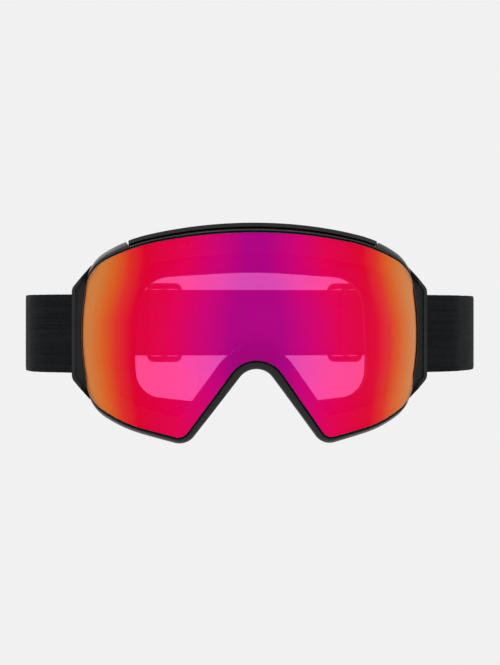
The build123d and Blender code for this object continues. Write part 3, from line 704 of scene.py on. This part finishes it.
# ---------------------------------------------------------------- face padding
def face_ring(name, outline, port_outset, radii, material, round_over, swell):
    """One layer between two radii of the face curve, with pillowed faces and sides that bulge."""
    front, back = radii
    outer = even_points(outline)
    inner = even_points(inset(FACE_PORT, *port_outset))
    half = [(-0.4, 0.22), (-0.9, 0.5), (-0.6, 0.78)]
    crown = [(0.25, 1.0), (0.75, 0.42), (1.6, 0.12), (3.2, -0.1), (5.6, -0.5)]
    stations = []
    sides = []
    for shift, depth in half:
        sides.append((shift * 0.4, front + depth * (back - front)))
    for reach, drop in crown:
        sides.append((reach * round_over, back + drop * round_over if drop > 0 else back + drop * swell))
    profile = [("outer", 0.0, front)] + [("outer", d, r) for d, r in sides]
    profile += [("middle", 0.0, back - 0.7 * swell)]
    profile += [("inner", d, r) for d, r in reversed(sides)] + [("inner", 0.0, front), ("middle", 0.0, front)]
    for k, (where, reach, radius) in enumerate(profile):
        ring = []
        for p, q in zip(outer, inner):
            width = math.dist(p, q)
            share = min(reach / width, 0.42)
            share = 0.5 if where == "middle" else (share if where == "outer" else 1.0 - share)
            x, z = between(p, q, share)
            loose = 0.0 if radius == front else ripple(x, 7.0 * k, z, 9.0, 0.16, back)
            ring.append(on_face(x, z, radius + loose))
        stations.append(ring)
    obj = closed_ring_object(name, stations, [material])
    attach(obj, "goggle_frame")
    return obj


base_outline = inset(CARRIER_OUTLINE, *FACE_INSET)
middle_outline = inset(base_outline, LAYER_STEP_IN)
fleece_outline = inset(middle_outline, LAYER_STEP_IN)
foam_base = face_ring(
    "padding_base", base_outline, FOAM_BASE_OUTSET, FOAM_BASE_RADIUS, FOAM_FIRM, 0.5, 0.0)
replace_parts(foam_base, "face_foam_base")
foam_middle = face_ring(
    "padding_middle", middle_outline, FOAM_MIDDLE_OUTSET, FOAM_MIDDLE_RADIUS, FOAM_SOFT,
    0.7, 0.0)
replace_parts(foam_middle, "face_foam_middle")
fleece = face_ring(
    "padding_fleece", fleece_outline, FLEECE_OUTSET, FLEECE_RADIUS, FLEECE, 1.0, 0.8)
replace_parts(fleece, "face_fleece")


def vent_strip(name, x0, x1, top):
    """Open foam behind the vents, following the wall."""
    outer, inner = (ring_points(inset(CARRIER_OUTLINE, distance), 24, 12) for distance in VENT_FOAM_INSET)
    chosen = []
    for i, (x, z) in enumerate(outer):
        if x0 < x < x1 and (z > 25 if top else z < -25):
            chosen.append(i)
    start = next(k for k in range(len(chosen)) if chosen[k - 1] != chosen[k] - 1) if top else 0
    chosen = chosen[start:] + chosen[:start]
    # Share of the way through the strip, and of the way from the frame's ring to its flange
    profile = [
        (0.0, 0.04), (0.0, 0.96), (0.15, 1.0), (0.85, 1.0), (1.0, 0.96), (1.04, 0.5), (1.0, 0.04),
        (0.85, 0.0), (0.15, 0.0)]
    sections = []
    for i in chosen:
        section = []
        for share, down in profile:
            x, z = between(outer[i], inner[i], share)
            y0 = on_lens(x, z, VENT_FOAM_FRONT)[1]
            y1 = on_face(x, z, VENT_FOAM_BACK_RADIUS)[1]
            section.append((x, y0 + down * (y1 - y0), z + ripple(x, 5 * down, z, 5.0, 0.12)))
        sections.append(section)
    points, faces = joined_rings(sections, caps=True)
    obj = add_object(name, points, faces, [VENT_FOAM], sharp=60)
    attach(obj, "goggle_frame")
    return obj


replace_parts(vent_strip("vent_foam_top", -56.0, 56.0, True), "top_vent_foam")
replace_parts(vent_strip("vent_foam_low_left", -71.0, -38.0, False), "bottom_vent_foam_left")
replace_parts(vent_strip("vent_foam_low_right", 38.0, 71.0, False), "bottom_vent_foam_right")


# ---------------------------------------------------------------- strap
def strap_directions(side):
    sign = SIDES[side]
    along = (sign * math.cos(STRAP_ANGLE), math.sin(STRAP_ANGLE))
    outward = (sign * math.sin(STRAP_ANGLE), -math.cos(STRAP_ANGLE))
    return along, outward


def clip_point(side, along_by, outward_by):
    along, outward = strap_directions(side)
    x = SIDES[side] * (PIN_X + CLIP_REACH * math.cos(CLIP_ANGLE))
    y = PIN_Y + CLIP_REACH * math.sin(CLIP_ANGLE)
    x += along_by * along[0] + outward_by * outward[0]
    y += along_by * along[1] + outward_by * outward[1]
    return x, y


def strap_line(side):
    start = clip_point(side, LOOP_LENGTH, WRAP_RADIUS)
    first = clip_point(side, FIRST_BEND_REACH, WRAP_RADIUS)
    line = [(*start, 0.0), (*first, FIRST_BEND_RADIUS)]
    return line + STRAP_BENDS[side]


def offset_path(path, shift):
    d = unit(path[0][0], path[0][1], path[1][0], path[1][1])
    moved = [(path[0][0] + shift * d[1], path[0][1] - shift * d[0], 0.0)]
    for i in range(1, len(path) - 1):
        moved.append(shifted_corner(path[i - 1], path[i], path[i + 1], shift))
    d = unit(path[-2][0], path[-2][1], path[-1][0], path[-1][1])
    moved.append((path[-1][0] + shift * d[1], path[-1][1] - shift * d[0], 0.0))
    return moved


def traced(path, step=3.0):
    """Points along a rounded path, close enough together for its bends."""
    points = [path[0][:2]]
    for i in range(1, len(path) - 1):
        points += corner_arc(path[i - 1], path[i], path[i + 1], 10)
    points.append(path[-1][:2])
    fine = [points[0]]
    for a, b in zip(points, points[1:]):
        length = math.dist(a, b)
        if length < 1e-6:
            continue
        count = max(1, math.ceil(length / step))
        for k in range(1, count + 1):
            fine.append((a[0] + (b[0] - a[0]) * k / count, a[1] + (b[1] - a[1]) * k / count))
    return fine


RISE_LINE = traced(STRAP_RISE)


def on_strap(x, y, height):
    """A point of the webbing: plan position, and height above the strap's middle line."""
    k = 1
    while k < len(RISE_LINE) - 1 and RISE_LINE[k][0] < y:
        k += 1
    (y0, z0), (y1, z1) = RISE_LINE[k - 1], RISE_LINE[k]
    return x, y, z0 + (z1 - z0) * (y - y0) / (y1 - y0) + height


def cut_at(points, reach):
    """The points before and after a distance along the line, sharing the point there."""
    gone = 0.0
    for i in range(1, len(points)):
        step = math.dist(points[i - 1], points[i])
        if gone + step >= reach:
            f = (reach - gone) / step
            p = between(points[i - 1], points[i], f)
            return points[:i] + [p], [p] + points[i:]
        gone += step
    return points, []


def webbing_section():
    """Half thickness and height round the edge of the webbing, with a thinner selvedge."""
    t, w = WEBBING_HALF_THICKNESS, WEBBING_HALF_WIDTH
    side = [(t * 0.96, 0.0)]
    for k in range(1, 17):
        h = k * (w - 1.6) / 16
        side.append((t * (1.0 if k % 2 else 0.95), h))
    side += [(t * 0.84, w - 1.2), (t * 0.84, w - 0.55), (t * 0.55, w - 0.12), (0.0, w)]
    up = side + [(-n, h) for n, h in reversed(side[:-1])]
    down = [(-n, -h) for n, h in side[1:]] + [(n, -h) for n, h in reversed(side[1:-1])]
    return up + down


def strap_piece(name, line, start_length):
    """Webbing swept along a line seen from above; start_length keeps the weave in step."""
    section = webbing_section()
    length = start_length
    rings, weave = [], []
    for i, (x, y) in enumerate(line):
        before, after = line[max(i - 1, 0)], line[min(i + 1, len(line) - 1)]
        tx, ty = unit(before[0], before[1], after[0], after[1])
        if i:
            length += math.dist(line[i - 1], line[i])
        ring = []
        for n, h in section:
            edge = abs(h) / WEBBING_HALF_WIDTH
            fray = 0.10 * noise.noise(Vector((length / 1.7, h, 3.0))) * max(0.0, (edge - 0.9) * 10)
            ring.append(on_strap(x + ty * n, y - tx * n, h + (fray if h > 0 else -fray)))
            weave.append((length * MM, h * MM, n * MM))
        rings.append(ring)
    points, faces = joined_rings(rings, caps=True)
    obj = add_object(name, points, faces, [WEBBING], sharp=55, weave=weave)
    return obj


def stitch_row(points3, normal, size=0.32):
    """Short raised stitches laid end to end between given points."""
    verts, faces = [], []
    for a, b in zip(points3, points3[1:]):
        a, b = Vector(a), Vector(b)
        run = (b - a)
        along = run.normalized()
        sidewise = along.cross(normal).normalized()
        count = 6
        base = len(verts)
        # Share of the way along the stitch, with its width and height there
        shape = [
            (0.06, 0.35, 0.1), (0.25, 0.85, 0.75), (0.5, 1.0, 1.0), (0.75, 0.85, 0.75), (0.94, 0.35, 0.1)]
        for f, wide, high in shape:
            for k in range(count):
                ang = math.tau * k / count
                aside = sidewise * (size * wide * math.cos(ang))
                raised = normal * (size * (0.35 + 0.65 * high) * max(math.sin(ang), -0.35))
                verts.append(tuple(a + run * f + aside + raised))
        for r in range(len(shape) - 1):
            for k in range(count):
                i, j = base + r * count + k, base + r * count + (k + 1) % count
                faces.append((i, j, j + count, i + count))
        faces.append(tuple(base + k for k in range(count)))
        faces.append(tuple(base + (len(shape) - 1) * count + k for k in range(count)))
    return verts, faces


main_path = strap_line("right") + strap_line("left")[::-1]
main_line = traced(main_path)
before_main, rest_main = cut_at(main_line, BENDING_REACH)
reversed_rest, after_main = cut_at(rest_main[::-1], BENDING_REACH)
middle_main = after_main[::-1]
outer_end = {"right": before_main, "left": reversed_rest}
strap_main = strap_piece("strap_outer", middle_main, BENDING_REACH)
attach(strap_main, "goggle_frame")
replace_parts(strap_main, "strap_main")

for side, sign in SIDES.items():
    r = WRAP_RADIUS
    line = strap_line(side)
    inner_reach = SLIDER_X[side] + sign * (TAB_REACH + 0.3)
    inner_path = offset_path(line + [(inner_reach, STRAP_REAR_Y, 0.0)], -sign * LAYER_STEP)
    inner_line = traced(inner_path)
    inner_front, inner_rest = cut_at(inner_line, BENDING_REACH)
    loop_path = [
        (*clip_point(side, LOOP_LENGTH, r), 0.0),
        (*clip_point(side, -r, r), r - 0.05), (*clip_point(side, -r, -r), r - 0.05),
        (*clip_point(side, 1.6, -r), 5.0), (*clip_point(side, LOOP_LENGTH - 1.5, r - LAYER_STEP), 5.0),
        (*clip_point(side, LOOP_LENGTH, r - LAYER_STEP), 0.0)]
    loop_line = traced(loop_path, 1.2)
    front_line = outer_end[side][::-1][:-1] + loop_line[:-1] + inner_front
    front = strap_piece("strap_end_" + side, front_line, 0.0)
    bar = on_strap(*clip_point(side, 0.0, 0.0), 0.0)
    still = on_strap(*clip_point(side, LOOP_LENGTH + BENDING_REACH - 3.0, 0.0), 0.0)
    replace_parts(front, "strap_loop_" + side)
    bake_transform(front)
    back = strap_piece("strap_inner_" + side, inner_rest, BENDING_REACH)
    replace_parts(back, "strap_return_" + side)
    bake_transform(back)

    x, y = SLIDER_X[side], STRAP_REAR_Y
    far = x - sign * (SLIDER_BAR_HALF_WIDTH + TAB_CLEARANCE + WEBBING_HALF_THICKNESS)
    turn = (TAB_INNER_LAYER - LAYER_STEP) / 2 - 0.05
    inner_y = y - LAYER_STEP - 2 * WEBBING_HALF_THICKNESS - 0.1
    tab_path = [
        (x + sign * TAB_REACH, y - LAYER_STEP, 0.0), (far, y - LAYER_STEP, turn),
        (far, y - TAB_INNER_LAYER, turn), (x + sign * 3.2, y - TAB_INNER_LAYER, 5.0),
        (x + sign * 8.0, inner_y, 5.0), (x + sign * TAB_REACH, inner_y, 0.0)]
    tab = strap_piece("strap_tab_mesh_" + side, traced(tab_path, 1.5), 0.0)
    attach(tab, "buckle_" + side)
    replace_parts(tab, "strap_tab_" + side)
    verts, faces = [], []
    face_y = inner_y - WEBBING_HALF_THICKNESS - 0.02
    for k in range(STITCH_ROWS):
        px = x + sign * (STITCH_FIRST_ROW + STITCH_ROW_STEP * k)
        row = [on_strap(px, face_y, STITCH_START + STITCH_LENGTH * i) for i in range(STITCH_COUNT + 1)]
        v, f = stitch_row(row, Vector((0.0, -1.0, 0.0)))
        faces += [tuple(i + len(verts) for i in g) for g in f]
        verts += v
    seam = add_object("tab_stitching_" + side, verts, faces, [THREAD], weave=[(0.0, 0.0, 0.0)] * len(verts))
    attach(seam, "buckle_" + side)


# ---------------------------------------------------------------- CAD pieces that keep their shape
def finish_cad(node, material, width=None, segments=2, angle=32.0):
    """A CAD node with its own material and its machined edges broken."""
    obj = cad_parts[node]
    obj.data.materials.clear()
    obj.data.materials.append(material)
    if width:
        weld = obj.modifiers.new("weld", "WELD")
        weld.merge_threshold = 2e-6
        bevel = obj.modifiers.new("edges", "BEVEL")
        bevel.width = width * MM
        bevel.segments = segments
        bevel.limit_method = "ANGLE"
        bevel.angle_limit = math.radians(angle)
        bevel.use_clamp_overlap = True
        normals = obj.modifiers.new("normals", "WEIGHTED_NORMAL")
        normals.keep_sharp = False
        normals.weight = 60


finish_cad("brim", RIM_PLASTIC, 0.35)
finish_cad("frame", FRAME_PLASTIC, 0.3)
finish_cad("carrier_magnets", MAGNET_STEEL, 0.15)
finish_cad("frame_magnets", MAGNET_STEEL, 0.15)
finish_cad("outrigger_screws", SCREW_STEEL, 0.12)
for side in SIDES:
    finish_cad("outrigger_" + side, WING_PLASTIC, 0.45)
    finish_cad("hinge_pin_" + side, PIN_STEEL, 0.2)
    finish_cad("strap_clip_" + side, BUCKLE_PLASTIC, 0.35)
    finish_cad("slider_" + side, BUCKLE_PLASTIC, 0.5)


# ---------------------------------------------------------------- studio
def plain_light(name, value):
    m = bpy.data.materials.new(name)
    m.use_nodes = True
    nodes, links = m.node_tree.nodes, m.node_tree.links
    nodes.remove(nodes["Principled BSDF"])
    glow = nodes.new("ShaderNodeEmission")
    glow.inputs["Color"].default_value = (value, value, value, 1.0)
    glow.inputs["Strength"].default_value = 1.0
    links.new(glow.outputs[0], nodes["Material Output"].inputs["Surface"])
    return m


def only_for_camera(obj):
    obj.visible_diffuse = False
    obj.visible_glossy = False
    obj.visible_transmission = False
    obj.visible_volume_scatter = False
    obj.visible_shadow = False


BACKDROP_VALUE = linear(241, 241, 241)[0]
pale = plain_light("pale_paper", BACKDROP_VALUE)


def studio_shell(name, build, place, **shape):
    """A plain surface of the studio, which only the camera sees."""
    work = bmesh.new()
    build(work, **shape)
    mesh = bpy.data.meshes.new(name)
    work.to_mesh(mesh)
    work.free()
    mesh.materials.append(pale)
    obj = bpy.data.objects.new(name, mesh)
    obj.location = place
    bpy.context.scene.collection.objects.link(obj)
    only_for_camera(obj)
    return obj


floor = studio_shell(
    "studio_floor", bmesh.ops.create_grid, (0.0, 0.0, -0.6), x_segments=1, y_segments=1, size=6.0)
dome = studio_shell(
    "studio_backdrop", bmesh.ops.create_icosphere, (0.0, 0.0, 0.0), subdivisions=4, radius=5.5)

world = bpy.data.worlds.new("studio")
bpy.context.scene.world = world
world.use_nodes = True
world.node_tree.nodes["Background"].inputs["Color"].default_value = (1.0, 1.0, 1.0, 1.0)
world.node_tree.nodes["Background"].inputs["Strength"].default_value = ROOM


def softbox(name, place, aim, width, height, power):
    light = bpy.data.lights.new(name, "AREA")
    light.shape = "RECTANGLE"
    light.size, light.size_y = width, height
    light.energy = power
    obj = bpy.data.objects.new(name, light)
    obj.location = place
    obj.rotation_euler = (Vector(aim) - Vector(place)).to_track_quat("-Z", "Y").to_euler()
    bpy.context.scene.collection.objects.link(obj)


softbox("top_softbox", (0.0, 0.15, 1.3), (0.0, 0.03, 0.0), 1.2, 0.7, 14.0)
softbox("left_softbox", (-1.0, 0.9, 0.9), (0.0, 0.05, 0.0), 0.6, 0.6, 6.0)

CAMERA_PLACE = (-0.0473, -0.7956, 0.00025)
CAMERA_TURN = -3.37          # degrees off the goggles' own axis
camera_data = bpy.data.cameras.new("camera")
camera_data.lens = 85.0
camera_data.sensor_width = 36.0
camera_data.clip_start = 0.05
camera_data.clip_end = 30.0
camera = bpy.data.objects.new("camera", camera_data)
camera.location = CAMERA_PLACE
camera.rotation_euler = (math.radians(90.0), 0.0, math.radians(CAMERA_TURN))
bpy.context.scene.collection.objects.link(camera)
bpy.context.scene.camera = camera
bpy.context.scene.view_settings.view_transform = "Standard"

bpy.context.view_layer.update()
